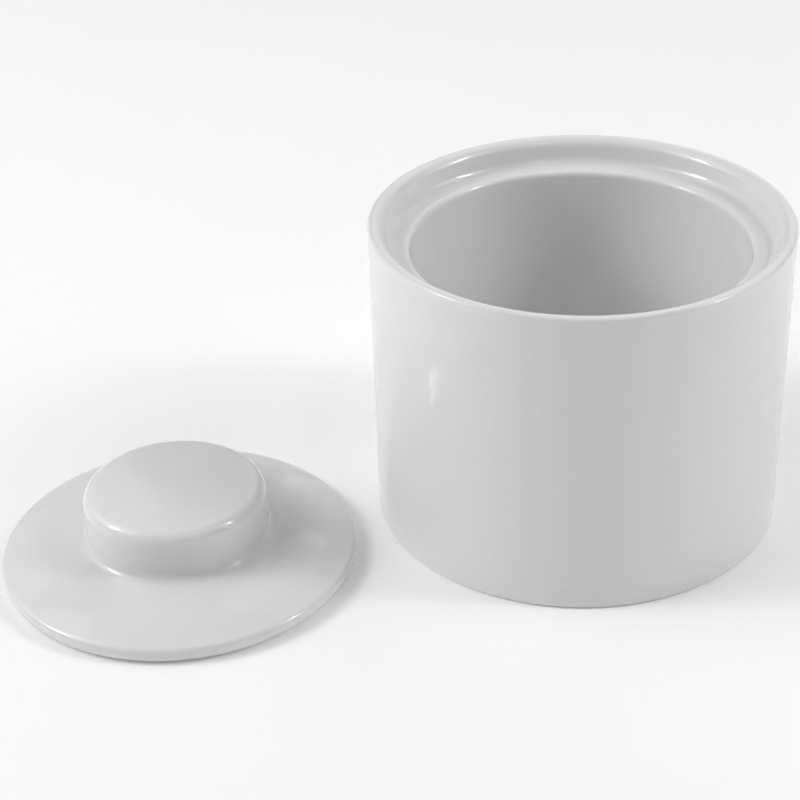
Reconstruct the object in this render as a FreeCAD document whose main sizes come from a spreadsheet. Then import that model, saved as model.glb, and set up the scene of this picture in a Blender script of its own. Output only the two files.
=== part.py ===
"""A lidded porcelain pot: an open cylindrical pot and its loose lid.

Two fired castings, each one closed solid:
  pot_body        the straight-sided pot, with a recess round the inside of
                  its rim, a ledge that the lid sits on, the bore below it
                  and a foot ring underneath
  lid_with_knob   the round lid: disc, drum knob and the hollow under the
                  knob are one casting

Millimetres, +Z up. The origin is the centre of the pot's foot. The lid lies
right side up on the same surface, on the -X side of the pot.
"""
import FreeCAD, Part
import Sketcher
import os

doc = FreeCAD.newDocument("lidded_pot")

# ---------------------------------------------------------------- dimensions
# (alias, value, what it is)
DIMENSIONS = [
    ("pot_radius", 47.5, "outside radius of the pot at its rim"),
    ("pot_foot_radius", 47.2, "outside radius at the foot: the wall has a draft"),
    ("pot_height", 72.6, "foot to the top of the rim"),
    ("rim_outer_round", 0.8, "rounding of the rim's outer edge"),
    ("rim_inner_round", 2.7, "rounding of the rim's inner edge"),
    ("recess_top_radius", 44.35, "lid recess inside the rim, at the rim's top"),
    ("recess_radius", 42.6, "lid recess at the ledge"),
    ("recess_depth", 5.9, "rim down to the ledge"),
    ("recess_cove", 3.0, "cove where the recess wall meets the ledge"),
    ("ledge_round", 1.2, "rounding of the ledge's inner edge"),
    ("bore_radius", 38.15, "bore at the ledge"),
    ("bore_floor_radius", 37.4, "bore at the floor: the wall has a draft"),
    ("floor_level", 7.0, "inside floor above the foot plane"),
    ("floor_round", 9.0, "cove where the bore meets the floor"),
    ("foot_edge_round", 0.8, "rounding of the outer bottom edge"),
    ("foot_ring_inner", 41.0, "inner radius of the flat foot ring"),
    ("foot_recess", 1.4, "height of the hollow inside the foot ring"),
    ("foot_recess_round", 0.6, "rounding of the foot ring's inner edge"),
    ("lid_offset", 95.7, "pot axis to lid axis, lid lying beside the pot"),
    ("lid_radius", 40.8, "outside radius of the lid's disc"),
    ("lid_edge_height", 3.7, "underside to the corner of the lid's edge"),
    ("lid_edge_top_round", 1.4, "rounding of the lid's upper edge"),
    ("lid_edge_low_round", 2.4, "rounding of the lid's lower edge"),
    ("shoulder_radius", 34.0, "where the disc's top turns down to its edge"),
    ("shoulder_height", 5.8, "underside to the disc's top at that turn"),
    ("shoulder_round", 30.0, "rounding of that turn"),
    ("disc_rise", 8.1, "underside to the disc's top at the knob"),
    ("knob_radius", 20.8, "radius of the drum knob"),
    ("knob_top", 19.6, "underside to the edge of the knob's top"),
    ("knob_crown", 0.4, "rise of the knob's top at its centre"),
    ("knob_edge_round", 3.0, "rounding of the knob's top edge"),
    ("knob_foot_round", 2.2, "cove where the knob meets the disc"),
    ("seat_inner", 33.5, "inner radius of the flat ring the lid rests on"),
    ("underside_rise", 1.6, "height of the shallow hollow inside that ring"),
    ("hollow_radius", 14.5, "radius of the hollow under the knob"),
    ("hollow_top", 13.5, "underside to the top of the hollow"),
    ("hollow_round", 4.0, "rounding at the top of the hollow"),
    ("hollow_mouth_round", 2.0, "rounding of the hollow's mouth"),
]
sheet = doc.addObject("Spreadsheet::Sheet", "dimensions")
for row, (alias, value, note) in enumerate(DIMENSIONS, start=1):
    sheet.set("A%d" % row, str(value))
    sheet.setAlias("A%d" % row, alias)
    sheet.set("B%d" % row, note)
doc.recompute()


def size(alias):
    return float(sheet.get(alias))


# ------------------------------------------------------------------- helpers
def origin_feature(body, role):
    for feature in body.Origin.OriginFeatures:
        if feature.Role == role:
            return feature
    raise RuntimeError("no " + role)


def new_body(name):
    body = doc.addObject("PartDesign::Body", name)
    body.Label = name
    return body


def half_profile(body, name, corners):
    """A closed polygon in the XZ plane. Each corner is (r, z), and each of r
    and z is 0, or a pair (start value, expression on the sheet). Every corner
    is pinned to the axis and to the base plane by its expressions."""
    sketch = body.newObject("Sketcher::SketchObject", name)
    sketch.AttachmentSupport = (origin_feature(body, "XZ_Plane"), [""])
    sketch.MapMode = "FlatFace"
    points = []
    for r, z in corners:
        points.append((r[0] if r else 0.0, z[0] if z else 0.0))
    n = len(points)
    for i in range(n):
        a = FreeCAD.Vector(points[i][0], points[i][1], 0)
        b = FreeCAD.Vector(points[(i + 1) % n][0], points[(i + 1) % n][1], 0)
        sketch.addGeometry(Part.LineSegment(a, b), False)
    for i in range(n):
        sketch.addConstraint(
            Sketcher.Constraint("Coincident", i, 2, (i + 1) % n, 1))
    for i, (r, z) in enumerate(corners):
        if r:
            k = sketch.addConstraint(
                Sketcher.Constraint("DistanceX", -1, 1, i, 1, r[0]))
            sketch.setExpression("Constraints[%d]" % k, r[1])
        else:
            sketch.addConstraint(Sketcher.Constraint("PointOnObject", i, 1, -2))
        if z:
            k = sketch.addConstraint(
                Sketcher.Constraint("DistanceY", -1, 1, i, 1, z[0]))
            sketch.setExpression("Constraints[%d]" % k, z[1])
        else:
            sketch.addConstraint(Sketcher.Constraint("PointOnObject", i, 1, -1))
    return sketch


def spin(body, kind, name, sketch):
    """Turn a half profile once round the piece's own axis, to add material
    (Revolution) or to cut it (Groove)."""
    feature = body.newObject("PartDesign::" + kind, name)
    feature.Profile = sketch
    feature.ReferenceAxis = (sketch, ["V_Axis"])
    feature.Angle = 360.0
    sketch.Visibility = False
    return feature


def rings_at(shape, radius, level):
    """Names of the circular edges of this radius at this height."""
    found = []
    for i, edge in enumerate(shape.Edges, start=1):
        curve = edge.Curve
        if (isinstance(curve, Part.Circle)
                and abs(curve.Radius - radius) < 1e-3
                and abs(curve.Center.z - level) < 1e-3):
            found.append("Edge%d" % i)
    return found


def round_edge(body, base, name, alias, radius, level):
    """Round the ring edge found at (radius, level) by the sheet's alias."""
    doc.recompute()
    edges = rings_at(base.Shape, radius, level)
    if not edges:
        raise RuntimeError("%s: no edge at r %.3f z %.3f" % (name, radius, level))
    before = base.Shape.Volume
    feature = body.newObject("PartDesign::Fillet", name)
    feature.Base = (base, edges)
    feature.Radius = size(alias)
    feature.setExpression("Radius", "dimensions." + alias)
    doc.recompute()
    if abs(feature.Shape.Volume - before) < 1e-3:
        raise RuntimeError(name + " changed nothing")
    return feature


def v(alias):
    return (size(alias), "dimensions." + alias)


def expr(value, text):
    return (value, text)


# ---------------------------------------------------------------------- pot
pot = new_body("pot_body")
blank = half_profile(pot, "pot_blank_profile", [
    (0, 0), (v("pot_foot_radius"), 0),
    (v("pot_radius"), v("pot_height")), (0, v("pot_height"))])
pot_blank = spin(pot, "Revolution", "pot_blank", blank)
doc.recompute()
full = pot_blank.Shape.Volume

ledge_level = expr(size("pot_height") - size("recess_depth"),
                   "dimensions.pot_height - dimensions.recess_depth")
cavity = half_profile(pot, "pot_cavity_profile", [
    (0, v("floor_level")),
    (v("bore_floor_radius"), v("floor_level")),
    (v("bore_radius"), ledge_level),
    (v("recess_radius"), ledge_level),
    (v("recess_top_radius"), v("pot_height")),
    (0, v("pot_height"))])
pot_cavity = spin(pot, "Groove", "pot_cavity", cavity)
doc.recompute()
if pot_cavity.Shape.Volume > 0.7 * full:
    raise RuntimeError("the cavity was not cut")

under = half_profile(pot, "foot_recess_profile", [
    (0, 0), (v("foot_ring_inner"), 0),
    (v("foot_ring_inner"), v("foot_recess")), (0, v("foot_recess"))])
foot_hollow = spin(pot, "Groove", "foot_hollow", under)
doc.recompute()
if foot_hollow.Shape.Volume >= pot_cavity.Shape.Volume - 100:
    raise RuntimeError("the foot hollow was not cut")

last = foot_hollow
for name, alias, radius, level in (
        ("rim_outer_edge", "rim_outer_round",
         size("pot_radius"), size("pot_height")),
        ("rim_inner_edge", "rim_inner_round",
         size("recess_top_radius"), size("pot_height")),
        ("recess_corner", "recess_cove", size("recess_radius"), ledge_level[0]),
        ("ledge_edge", "ledge_round", size("bore_radius"), ledge_level[0]),
        ("floor_corner", "floor_round",
         size("bore_floor_radius"), size("floor_level")),
        ("foot_outer_edge", "foot_edge_round", size("pot_foot_radius"), 0.0),
        ("foot_inner_edge", "foot_recess_round", size("foot_ring_inner"), 0.0),
        ("foot_hollow_corner", "foot_recess_round",
         size("foot_ring_inner"), size("foot_recess"))):
    last = round_edge(pot, last, name, alias, radius, level)
pot.Tip = last

# ---------------------------------------------------------------------- lid
lid = new_body("lid_with_knob")
upper = half_profile(lid, "lid_blank_profile", [
    (0, 0), (v("lid_radius"), 0),
    (v("lid_radius"), v("lid_edge_height")),
    (v("shoulder_radius"), v("shoulder_height")),
    (v("knob_radius"), v("disc_rise")),
    (v("knob_radius"), v("knob_top")),
    (0, expr(size("knob_top") + size("knob_crown"),
             "dimensions.knob_top + dimensions.knob_crown"))])
lid_blank = spin(lid, "Revolution", "lid_blank", upper)
doc.recompute()
solid_lid = lid_blank.Shape.Volume

hollow = half_profile(lid, "lid_underside_profile", [
    (0, 0), (v("seat_inner"), 0),
    (v("seat_inner"), v("underside_rise")),
    (v("hollow_radius"), v("underside_rise")),
    (v("hollow_radius"), v("hollow_top")),
    (0, v("hollow_top"))])
lid_hollow = spin(lid, "Groove", "lid_underside", hollow)
doc.recompute()
if lid_hollow.Shape.Volume > solid_lid - 5000:
    raise RuntimeError("the lid's underside was not cut")

last = lid_hollow
for name, alias, radius, level in (
        ("knob_top_edge", "knob_edge_round",
         size("knob_radius"), size("knob_top")),
        ("knob_foot", "knob_foot_round", size("knob_radius"), size("disc_rise")),
        ("disc_shoulder", "shoulder_round",
         size("shoulder_radius"), size("shoulder_height")),
        ("lid_upper_edge", "lid_edge_top_round",
         size("lid_radius"), size("lid_edge_height")),
        ("lid_lower_edge", "lid_edge_low_round", size("lid_radius"), 0.0),
        ("hollow_end", "hollow_round", size("hollow_radius"), size("hollow_top")),
        ("hollow_mouth", "hollow_mouth_round",
         size("hollow_radius"), size("underside_rise"))):
    last = round_edge(lid, last, name, alias, radius, level)
lid.Tip = last
lid.setExpression("Placement.Base.x", "-dimensions.lid_offset")

# ------------------------------------------------------------ check and write
doc.recompute()
for item in doc.Objects:
    if "Invalid" in item.State or "Error" in item.State:
        raise RuntimeError("%s failed: %s" % (item.Name, item.State))
pieces = [pot, lid]
for piece in pieces:
    if piece.Shape.isNull() or not piece.Shape.isValid():
        raise RuntimeError(piece.Label + " is not a valid shape")
    if len(piece.Shape.Solids) != 1:
        raise RuntimeError(piece.Label + " is not one solid")

os.makedirs("parts", exist_ok=True)
for piece in pieces:
    piece.Shape.exportStep("parts/%s.step" % piece.Label)
    box = piece.Shape.optimalBoundingBox(False)
    print("%s volume %.1f mm3, x %.3f..%.3f y %.3f..%.3f z %.3f..%.3f" % (
        piece.Label, piece.Shape.Volume, box.XMin, box.XMax,
        box.YMin, box.YMax, box.ZMin, box.ZMax))
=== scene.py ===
"""Visual model of the porcelain pot and its loose lid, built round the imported
frame. Metres, +Z up, the same frame as the CAD.

Both pieces are turned shapes, so each is one closed lathe mesh. Its section
has the CAD's dimensions, softened as glaze softens them, and the ring of it is
a little out of true, as fired ware is. One porcelain material per piece holds
the glaze and the bare ground ring that the piece stands on.
"""
import math

import bpy
import numpy as np
from mathutils import Matrix, Vector


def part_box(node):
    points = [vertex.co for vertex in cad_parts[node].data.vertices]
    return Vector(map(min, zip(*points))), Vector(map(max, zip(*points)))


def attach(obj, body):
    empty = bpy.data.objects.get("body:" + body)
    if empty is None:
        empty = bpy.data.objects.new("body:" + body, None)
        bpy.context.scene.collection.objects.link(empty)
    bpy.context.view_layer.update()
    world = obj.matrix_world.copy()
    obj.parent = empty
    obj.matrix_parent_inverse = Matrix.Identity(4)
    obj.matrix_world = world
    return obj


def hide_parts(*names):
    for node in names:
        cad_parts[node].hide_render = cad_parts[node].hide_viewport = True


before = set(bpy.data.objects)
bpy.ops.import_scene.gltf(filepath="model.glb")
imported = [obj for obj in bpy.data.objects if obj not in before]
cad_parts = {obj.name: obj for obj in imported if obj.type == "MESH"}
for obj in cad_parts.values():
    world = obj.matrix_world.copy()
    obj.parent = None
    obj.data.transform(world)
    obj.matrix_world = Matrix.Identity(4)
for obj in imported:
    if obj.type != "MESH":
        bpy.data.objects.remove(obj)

scene = bpy.context.scene
MM = 0.001

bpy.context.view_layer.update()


def seat(node):
    """Centre of a node's foot, its outside radius and its height, metres."""
    low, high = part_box(node)
    centre = Vector(((low[0] + high[0]) / 2, (low[1] + high[1]) / 2, low[2]))
    return centre, (high[0] - low[0]) / 2, high[2] - low[2]


pot_centre, pot_radius, pot_height = seat("pot_body")
lid_centre, lid_radius, lid_height = seat("lid_with_knob")

# ------------------------------------------------------------------ sections
# Corners of each half section in millimetres: (r, z, rounding). They run from
# the axis underneath, outwards, over the top and back to the axis, with the
# porcelain on the left of the way.
R, H = 47.5, pot_height / MM
POT = [
    (0.0, 1.4, 0.0),      # middle of the hollow inside the foot ring
    (41.0, 1.4, 0.6),
    (41.0, 0.0, 0.6),     # inner edge of the foot ring
    (R - 0.3, 0.0, 0.8),  # outer bottom edge
    (R, H, 0.8),          # rim, outer edge
    (44.35, H, 2.7),      # rim, inner edge
    (42.6, H - 5.9, 3.0),  # cove of the lid recess
    (38.15, H - 5.9, 1.2),  # inner edge of the ledge
    (37.4, 7.0, 9.0),     # cove of the floor
    (0.0, 7.0, 0.0),
]
L, K = lid_radius / MM, lid_height / MM
LID = [
    (0.0, 13.5, 0.0),     # top of the hollow under the knob
    (14.5, 13.5, 4.0),
    (14.5, 1.6, 2.0),     # mouth of that hollow
    (33.5, 1.6, 0.5),
    (33.5, 0.0, 0.35),    # inner edge of the seat ring
    (L, 0.0, 2.4),        # lower edge of the disc
    (L, 3.7, 1.4),        # upper edge of the disc
    (34.0, 5.8, 30.0),    # shoulder, where the disc's top turns down
    (20.8, 8.1, 2.2),     # cove round the knob's foot
    (20.8, K - 0.4, 3.0),  # knob's top edge
    (0.0, K, 0.0),
]


def rounded(corners):
    """The section's polygon with an arc in each corner that has a rounding."""
    out = []
    last = len(corners) - 1
    for i, (r, z, radius) in enumerate(corners):
        p = np.array((r, z))
        if i in (0, last) or radius <= 0:
            out.append(p)
            continue
        a = np.array(corners[i - 1][:2]) - p
        b = np.array(corners[i + 1][:2]) - p
        a /= np.linalg.norm(a)
        b /= np.linalg.norm(b)
        half = math.acos(max(-1.0, min(1.0, float(a @ b)))) / 2
        reach = radius / math.tan(half)
        middle = p + (a + b) / np.linalg.norm(a + b) * radius / math.sin(half)
        start, end = p + a * reach - middle, p + b * reach - middle
        turn = math.atan2(start[0] * end[1] - start[1] * end[0], float(start @ end))
        steps = max(6, int(abs(turn) / math.radians(2.5)))
        for k in range(steps + 1):
            c, s = math.cos(turn * k / steps), math.sin(turn * k / steps)
            out.append(middle + np.array((c * start[0] - s * start[1],
                                          s * start[0] + c * start[1])))
    return np.array(out)


def softened(line, blur=0.28, step=0.06):
    """The same line with its curvature evened out over about `blur` mm, as a
    fired glaze leaves it: resampled finely, then smoothed along its length."""
    seg = np.linalg.norm(np.diff(line, axis=0), axis=1)
    keep = np.r_[True, seg > 1e-6]
    line = line[keep]
    along = np.r_[0, np.cumsum(np.linalg.norm(np.diff(line, axis=0), axis=1))]
    n = int(along[-1] / step)
    at = np.linspace(0, along[-1], n + 1)
    fine = np.c_[np.interp(at, along, line[:, 0]), np.interp(at, along, line[:, 1])]
    width = int(4 * blur / step)
    kernel = np.exp(-0.5 * (np.arange(-width, width + 1) * step / blur) ** 2)
    kernel /= kernel.sum()
    # past the axis the section goes on as its mirror image
    head = fine[width:0:-1] * (-1, 1)
    tail = fine[-2:-width - 2:-1] * (-1, 1)
    whole = np.r_[head, fine, tail]
    smooth = np.c_[np.convolve(whole[:, 0], kernel, "valid"),
                   np.convolve(whole[:, 1], kernel, "valid")]
    smooth[0, 0] = smooth[-1, 0] = 0.0
    return smooth, step


def thinned(line, turn=3.2, longest=3.0, growth=1.45):
    """Points of the fine line that its shape needs: closer on the roundings,
    further apart on the straights, with spacing that changes gradually."""
    d = np.diff(line, axis=0)
    length = np.linalg.norm(d, axis=1)
    angle = np.unwrap(np.arctan2(d[:, 1], d[:, 0]))
    bend = np.r_[0, np.abs(np.diff(angle)), 0] / math.radians(turn)
    # the spacing that each point allows, then limited by its neighbours'
    room = np.minimum(longest, length.mean() / np.maximum(bend, 1e-6))
    rate = (growth - 1) / growth * length.mean()
    for i in range(1, len(room)):
        room[i] = min(room[i], room[i - 1] + rate)
    for i in range(len(room) - 2, -1, -1):
        room[i] = min(room[i], room[i + 1] + rate)
    need = np.r_[0, np.cumsum(length / ((room[:-1] + room[1:]) / 2))]
    count = int(math.ceil(need[-1]))
    marks = np.interp(np.linspace(0, need[-1], count + 1), need,
                      np.arange(len(line)))
    return marks


def lathe(name, corners, centre, around, warp, bare):
    """One closed mesh turned from a section. warp(angle, r, z) gives a point's
    shift outwards and up in mm; bare(r, z) is 1 where the glaze was wiped off.
    Two vertex attributes go to the material: glaze, from -1 where it runs thin
    over an edge to 1 where it pools in a corner, and bare."""
    line, step = softened(rounded(corners))
    marks = thinned(line)
    index = np.arange(len(line))
    r = np.interp(marks, index, line[:, 0])
    z = np.interp(marks, index, line[:, 1])

    d = np.gradient(line, axis=0)
    heading = np.unwrap(np.arctan2(d[:, 1], d[:, 0]))
    bend = np.gradient(heading) / step          # + turns left: an outer edge
    spread = np.exp(-0.5 * (np.arange(-40, 41) * step / 0.8) ** 2)
    bend = np.convolve(np.pad(bend, 40, mode="edge"), spread / spread.sum(), "valid")
    pool = np.clip(-bend * 3.0, -1, 1)
    pool = np.interp(marks, index, pool)

    rows = []
    verts, glaze, wiped = [], [], []
    for i in range(len(r)):
        if r[i] < 1e-6:
            rows.append([len(verts)])
            verts.append((0.0, 0.0, z[i]))
            glaze.append(pool[i])
            wiped.append(bare(r[i], z[i]))
            continue
        rows.append(list(range(len(verts), len(verts) + around)))
        for k in range(around):
            t = 2 * math.pi * k / around
            out, up = warp(t, r[i], z[i])
            rr = r[i] + out
            verts.append((rr * math.cos(t), rr * math.sin(t), z[i] + up))
        glaze += [pool[i]] * around
        wiped += [bare(r[i], z[i])] * around
    faces = []
    for a, b in zip(rows[:-1], rows[1:]):
        for k in range(around):
            m = (k + 1) % around
            if len(a) == 1:
                faces.append((a[0], b[m], b[k]))
            elif len(b) == 1:
                faces.append((a[k], a[m], b[0]))
            else:
                faces.append((a[k], a[m], b[m], b[k]))
    mesh = bpy.data.meshes.new(name)
    mesh.from_pydata([tuple(centre + Vector(v) * MM) for v in verts], [], faces)
    mesh.validate()
    mesh.shade_smooth()
    for title, values in (("glaze", glaze), ("bare", wiped)):
        layer = mesh.attributes.new(title, "FLOAT", "POINT")
        layer.data.foreach_set("value", values)
    mesh.update()
    piece = bpy.data.objects.new(name, mesh)
    scene.collection.objects.link(piece)
    return piece


# --------------------------------------------------------------- the castings
def pot_warp(t, r, z):
    """Kiln warp: nothing at the foot, a tenth of a millimetre at the rim."""
    lift = max(0.0, z / H)
    out = lift ** 1.5 * (0.10 * math.cos(2 * t + 0.9) + 0.045 * math.cos(3 * t - 0.6)
                         + 0.02 * math.cos(5 * t + 2.0)) * min(1.0, r / 20)
    up = 0.0
    if z > 40:
        up = (z - 40) / 32 * (0.07 * math.cos(2 * t - 0.4) + 0.03 * math.cos(4 * t + 1.3))
    return out, up * min(1.0, r / 20)


def lid_warp(t, r, z):
    """The disc is a little oval and its upper edge a little uneven; the knob
    leans by a few hundredths. The flat ring underneath stays true."""
    lift = max(0.0, min(1.0, z / 4.0))
    rim = max(0.0, min(1.0, (r - 24) / 14))
    out = 0.06 * math.cos(2 * t + 2.2) * lift * min(1.0, r / 15)
    up = rim * lift * (0.05 * math.cos(3 * t + 0.5) + 0.03 * math.cos(2 * t))
    if z > 10 and r < 22:
        share = (z - 10) / 9 * min(1.0, r / 8)
        out += 0.07 * math.cos(t - 2.4) * share + 0.04 * math.cos(3 * t + 1) * share
    return out, up


def on_ring(inner, outer):
    """1 on the flat ring the piece stands on, falling to 0 over 0.3 mm."""
    def bare(r, z):
        if z > 0.9:
            return 0.0
        edge = min(r - inner, outer - r) / 0.3
        return max(0.0, min(1.0, 0.5 + edge)) * max(0.0, min(1.0, 1.4 - z / 0.5))
    return bare


pot = lathe("pot_glazed", POT, pot_centre, 256, pot_warp, on_ring(41.4, 46.7))
lid = lathe("lid_glazed", LID, lid_centre, 256, lid_warp, on_ring(33.7, 38.4))


# ------------------------------------------------------------------ porcelain
def node(tree, kind, at, **inputs):
    made = tree.nodes.new(kind)
    made.location = at
    for key, value in inputs.items():
        made.inputs[key.replace("_", " ")].default_value = value
    return made


def ramp(tree, at, *stops):
    made = tree.nodes.new("ShaderNodeValToRGB")
    made.location = at
    bar = made.color_ramp
    while len(bar.elements) > len(stops):
        bar.elements.remove(bar.elements[-1])
    while len(bar.elements) < len(stops):
        bar.elements.new(0.5)
    for element, (place, colour) in zip(bar.elements, stops):
        element.position = place
        element.color = (*colour, 1) if len(colour) == 3 else colour
    return made


def grey(v, warm=0.0):
    """A near-white: v with a little more red than blue where warm is over 0."""
    return (v * (1 + warm), v, v * (1 - warm))


def porcelain(name, shift):
    """White glazed porcelain. shift moves the patterns, so that the pieces
    don't repeat each other."""
    mat = bpy.data.materials.new(name)
    mat.use_nodes = True
    tree = mat.node_tree
    link = tree.links.new
    tree.nodes.clear()
    out = tree.nodes.new("ShaderNodeOutputMaterial")
    out.location = (1200, 0)
    skin = tree.nodes.new("ShaderNodeBsdfPrincipled")
    skin.location = (900, 0)
    link(skin.outputs["BSDF"], out.inputs["Surface"])
    skin.inputs["IOR"].default_value = 1.5
    skin.inputs["Metallic"].default_value = 0.0

    coords = node(tree, "ShaderNodeTexCoord", (-1500, 0))
    move = node(tree, "ShaderNodeMapping", (-1300, 0))
    move.inputs["Location"].default_value = shift
    link(coords.outputs["Object"], move.inputs["Vector"])
    where = move.outputs["Vector"]

    def noise(at, scale, detail, rough=0.5):
        made = node(tree, "ShaderNodeTexNoise", at, Scale=scale, Detail=detail,
                    Roughness=rough)
        link(where, made.inputs["Vector"])
        return made.outputs["Fac"]

    def mix(at, kind, fac, a, b):
        made = tree.nodes.new("ShaderNodeMix")
        made.data_type = "RGBA"
        made.blend_type = kind
        made.location = at
        for socket, value in ((made.inputs["Factor"], fac),
                              (made.inputs["A"], a), (made.inputs["B"], b)):
            if hasattr(value, "is_output"):
                link(value, socket)
            elif isinstance(value, tuple):
                socket.default_value = (*value, 1)
            else:
                socket.default_value = value
        return made.outputs["Result"]

    def maths(at, kind, a, b=None, clamp=False):
        made = tree.nodes.new("ShaderNodeMath")
        made.operation = kind
        made.location = at
        made.use_clamp = clamp
        for socket, value in zip(made.inputs, (a, b)):
            if value is None:
                continue
            if hasattr(value, "is_output"):
                link(value, socket)
            else:
                socket.default_value = value
        return made.outputs["Value"]

    # how thick the glaze lies: thin over edges, pooled in corners
    thick = node(tree, "ShaderNodeAttribute", (-1500, 500))
    thick.attribute_name = "glaze"
    pooled = maths((-1250, 500), "MULTIPLY_ADD", thick.outputs["Fac"], 0.5)
    pooled.node.inputs[2].default_value = 0.5
    body = ramp(tree, (-1050, 500),
                (0.0, grey(0.812, 0.004)), (0.5, grey(0.800, 0.0)),
                (1.0, grey(0.775, -0.006)))
    link(pooled, body.inputs["Fac"])

    # slow clouds in the body's whiteness, a few centimetres across
    clouds = ramp(tree, (-1050, 250),
                  (0.25, grey(0.972, 0.002)), (0.75, (1.0, 1.0, 1.0)))
    link(noise((-1280, 250), 34, 3, 0.55), clouds.inputs["Fac"])
    colour = mix((-750, 400), "MULTIPLY", 1.0, body.outputs["Color"],
                 clouds.outputs["Color"])
    # fine mottle, under the glaze
    mottle = ramp(tree, (-1050, 0),
                  (0.3, grey(0.99, 0.0)), (0.7, (1.0, 1.0, 1.0)))
    link(noise((-1280, -30), 900, 2), mottle.inputs["Fac"])
    colour = mix((-560, 300), "MULTIPLY", 1.0, colour, mottle.outputs["Color"])

    # a few iron specks, 0.2 to 0.5 mm
    cells = node(tree, "ShaderNodeTexVoronoi", (-1280, -300), Scale=62.0,
                 Randomness=1.0)
    cells.feature = "F1"
    link(where, cells.inputs["Vector"])
    chosen = node(tree, "ShaderNodeSeparateColor", (-1060, -420))
    link(cells.outputs["Color"], chosen.inputs["Color"])
    few = maths((-860, -420), "GREATER_THAN", chosen.outputs["Red"], 0.90)
    girth = maths((-860, -600), "MULTIPLY_ADD", chosen.outputs["Green"], 0.010)
    girth.node.inputs[2].default_value = 0.006
    near = maths((-860, -260), "DIVIDE", cells.outputs["Distance"], girth)
    dot = maths((-680, -260), "SUBTRACT", 1.6, near, clamp=True)
    speck = maths((-500, -300), "MULTIPLY", dot, few)
    faint = maths((-340, -300), "MULTIPLY", speck, 0.38)
    colour = mix((-300, 200), "MIX", faint, colour, (0.33, 0.31, 0.28))

    # the bare ring: ground porcelain with grey rub marks
    edge = node(tree, "ShaderNodeAttribute", (-1500, -800))
    edge.attribute_name = "bare"
    wobble = noise((-1280, -950), 420, 2)
    ragged = maths((-1060, -820), "ADD", edge.outputs["Fac"],
                   maths((-1240, -1100), "MULTIPLY_ADD", wobble, 0.5))
    ragged.node.inputs[1].links[0].from_node.inputs[2].default_value = -0.25
    bare = ramp(tree, (-860, -820), (0.45, (0, 0, 0)), (0.55, (1, 1, 1)))
    link(ragged, bare.inputs["Fac"])
    scuff = ramp(tree, (-860, -1080), (0.42, grey(0.56, 0.01)),
                 (0.62, grey(0.74, 0.008)))
    link(noise((-1060, -1100), 260, 6, 0.7), scuff.inputs["Fac"])
    colour = mix((100, 150), "MIX", bare.outputs["Color"], colour,
                 scuff.outputs["Color"])
    link(colour, skin.inputs["Base Color"])

    # gloss: a little uneven, with faint handling haze, and matt on the ring
    haze = ramp(tree, (-300, -60), (0.35, (0.05,) * 3), (0.8, (0.09,) * 3))
    link(noise((-520, -60), 70, 4, 0.6), haze.inputs["Fac"])
    grain = ramp(tree, (-300, -700), (0.3, (0.52,) * 3), (0.7, (0.68,) * 3))
    link(noise((-520, -700), 1500, 3), grain.inputs["Fac"])
    rough = mix((350, -60), "MIX", bare.outputs["Color"], haze.outputs["Color"],
                grain.outputs["Color"])
    link(rough, skin.inputs["Roughness"])

    # surface: the long ripple and fine orange peel of a fired glaze,
    # and the grain of the ground ring
    ripple = node(tree, "ShaderNodeBump", (400, -300), Strength=1.0,
                  Distance=0.00006)
    link(noise((100, -300), 45, 1.5), ripple.inputs["Height"])
    peel = node(tree, "ShaderNodeBump", (560, -400), Strength=1.0,
                Distance=0.0000035)
    link(noise((100, -480), 420, 2), peel.inputs["Height"])
    link(ripple.outputs["Normal"], peel.inputs["Normal"])
    coarse = node(tree, "ShaderNodeBump", (720, -500), Distance=0.00005)
    link(bare.outputs["Color"], coarse.inputs["Strength"])
    link(noise((100, -660), 2600, 3), coarse.inputs["Height"])
    link(peel.outputs["Normal"], coarse.inputs["Normal"])
    link(coarse.outputs["Normal"], skin.inputs["Normal"])
    return mat


for piece, cad, body_name, slot, shift in (
        (pot, "pot_body", "pot", "pot_porcelain", (0.0, 0.0, 0.0)),
        (lid, "lid_with_knob", "lid", "lid_porcelain", (0.31, 0.17, 0.05))):
    piece.data.materials.append(porcelain(slot + "_glaze", shift))
    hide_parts(cad)
    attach(piece, body_name)

# ---------------------------------------------------------------------- floor
def disc(name, radius, z, rings=24, around=96):
    verts, faces = [(0, 0, z)], []
    for i in range(1, rings + 1):
        r = radius * (i / rings) ** 2
        for k in range(around):
            t = 2 * math.pi * k / around
            verts.append((r * math.cos(t), r * math.sin(t), z))
    for k in range(around):
        m = (k + 1) % around
        faces.append((0, 1 + k, 1 + m))
        for i in range(rings - 1):
            a, b = 1 + i * around, 1 + (i + 1) * around
            faces.append((a + k, b + k, b + m, a + m))
    mesh = bpy.data.meshes.new(name)
    mesh.from_pydata(verts, [], faces)
    made = bpy.data.objects.new(name, mesh)
    scene.collection.objects.link(made)
    return made


floor = disc("floor", 8.0, -0.00004)
paper = bpy.data.materials.new("floor_paper")
paper.use_nodes = True
tree = paper.node_tree
sheet = tree.nodes["Principled BSDF"]
sheet.inputs["Roughness"].default_value = 0.9
sheet.inputs["Specular IOR Level"].default_value = 0.1
# painted light: the paper glows white on top of the lamps' light; the glow's strength is
# set by distance below
sheet.inputs["Emission Color"].default_value = (1, 1, 1, 1)
sheet.inputs["Emission Strength"].default_value = 0.11
coords = node(tree, "ShaderNodeTexCoord", (-700, 0))
fibre = node(tree, "ShaderNodeTexNoise", (-500, 0), Scale=6.0, Detail=3.0)
tree.links.new(coords.outputs["Object"], fibre.inputs["Vector"])
tone = ramp(tree, (-300, 0), (0.3, (0.93,) * 3), (0.7, (0.945,) * 3))
tree.links.new(fibre.outputs["Fac"], tone.inputs["Fac"])
tree.links.new(tone.outputs["Color"], sheet.inputs["Base Color"])
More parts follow.
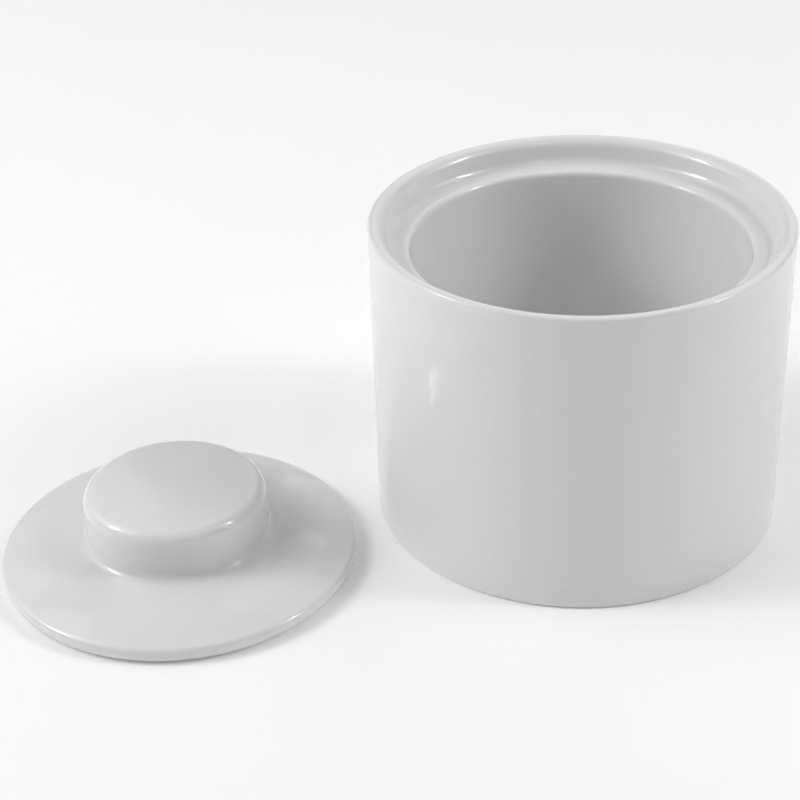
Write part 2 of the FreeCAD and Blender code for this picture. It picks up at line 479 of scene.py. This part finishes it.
# painted light: the paper glows faintly near the pieces and more strongly far from them,
# where the soft boxes don't reach, so that it looks evenly lit
away = node(tree, "ShaderNodeVectorMath", (-500, -300))
away.operation = "LENGTH"
tree.links.new(coords.outputs["Object"], away.inputs[0])
share = node(tree, "ShaderNodeMath", (-300, -300))
share.operation = "MULTIPLY"
share.inputs[1].default_value = 0.125
tree.links.new(away.outputs["Value"], share.inputs[0])
# painted glow strength of the paper: 0.08 near the pieces, rising to 0.48 far out
lift = ramp(tree, (-100, -300), (0.0, (0.08,) * 3), (0.06, (0.08,) * 3),
            (0.24, (0.48,) * 3))
tree.links.new(share.outputs["Value"], lift.inputs["Fac"])
tree.links.new(lift.outputs["Color"], sheet.inputs["Emission Strength"])
floor.data.materials.append(paper)

# ---------------------------------------------------------------------- light
world = bpy.data.worlds.new("studio")
scene.world = world
world.use_nodes = True
sky = world.node_tree.nodes["Background"]
sky.inputs["Strength"].default_value = 1.0
# a pale backdrop low round the horizon, dark overhead so that the soft boxes
# give the light
coords = node(world.node_tree, "ShaderNodeTexCoord", (-800, 0))
split = node(world.node_tree, "ShaderNodeSeparateXYZ", (-600, 0))
backdrop = ramp(world.node_tree, (-400, 0), (0.0, (0.50,) * 3),
                (0.10, (0.50,) * 3), (0.22, (0.04,) * 3))
world.node_tree.links.new(coords.outputs["Generated"], split.inputs["Vector"])
world.node_tree.links.new(split.outputs["Z"], backdrop.inputs["Fac"])
world.node_tree.links.new(backdrop.outputs["Color"], sky.inputs["Color"])

AIM = Vector((-0.02, 0.0, 0.03))
CAMERA_HEADING = 0.2259     # radians from +Y towards +X


def panel(name, azimuth, elevation, distance, width, height, power):
    """A soft box. azimuth is in degrees from the way the camera looks: 180 is
    behind the camera, 90 on its right, -90 on its left."""
    a = CAMERA_HEADING + math.radians(azimuth)
    e = math.radians(elevation)
    way = Vector((math.sin(a) * math.cos(e), math.cos(a) * math.cos(e), math.sin(e)))
    lamp = bpy.data.lights.new(name, "AREA")
    lamp.shape = "RECTANGLE"
    lamp.size, lamp.size_y = width, height
    lamp.energy = power
    made = bpy.data.objects.new(name, lamp)
    made.location = AIM + way * distance
    made.rotation_mode = "QUATERNION"
    made.rotation_quaternion = way.to_track_quat("Z", "Y")
    made.visible_camera = False
    scene.collection.objects.link(made)
    return made


for row in (
        # each side is a soft box whose middle is brighter than its margin
        ("left_wide", -88, 38, 1.35, 1.50, 1.25, 5.2),
        ("left_box", -92, 40, 1.28, 0.85, 0.80, 3.6),
        ("left_core", -94, 36, 1.20, 0.22, 0.34, 2.8),
        ("right_wide", 92, 36, 1.35, 1.30, 1.15, 3.5),
        ("right_box", 97, 38, 1.28, 0.65, 0.70, 2.6),
        ("right_core", 101, 38, 1.20, 0.14, 0.30, 2.0),
        ("back_left", -38, 25, 1.45, 1.10, 0.75, 1.3),
        ("back_right", 25, 24, 1.45, 1.20, 0.75, 1.9),
        ("back_high", 30, 50, 1.40, 0.90, 0.70, 1.6),
        ("overhead", -60, 80, 1.50, 1.40, 1.40, 2.4),
        ("front_small", 150, 62, 1.30, 0.16, 0.16, 0.6),
):
    panel(*row)

# --------------------------------------------------------------------- camera
def look(location, heading, pitch, roll, lens):
    """A camera that looks along heading (from +Y towards +X), pitched down."""
    fwd = Vector((math.sin(heading) * math.cos(pitch),
                  math.cos(heading) * math.cos(pitch), -math.sin(pitch)))
    right = Vector((math.cos(heading), -math.sin(heading), 0.0))
    up = right.cross(fwd)
    x = math.cos(roll) * right + math.sin(roll) * up
    y = -math.sin(roll) * right + math.cos(roll) * up
    turn = Matrix((x, y, -fwd)).transposed()
    data = bpy.data.cameras.new("camera")
    data.lens = lens
    data.sensor_width = 36.0
    data.clip_start, data.clip_end = 0.01, 30.0
    made = bpy.data.objects.new("camera", data)
    made.matrix_world = Matrix.Translation(location) @ turn.to_4x4()
    scene.collection.objects.link(made)
    return made


scene.camera = look(Vector((-0.12803, -0.37203, 0.25982)), CAMERA_HEADING,
                    0.5366, -0.0326, 87.57)
scene.view_settings.view_transform = "Standard"
scene.view_settings.look = "None"
scene.view_settings.exposure = 0.0
scene.view_settings.gamma = 1.0
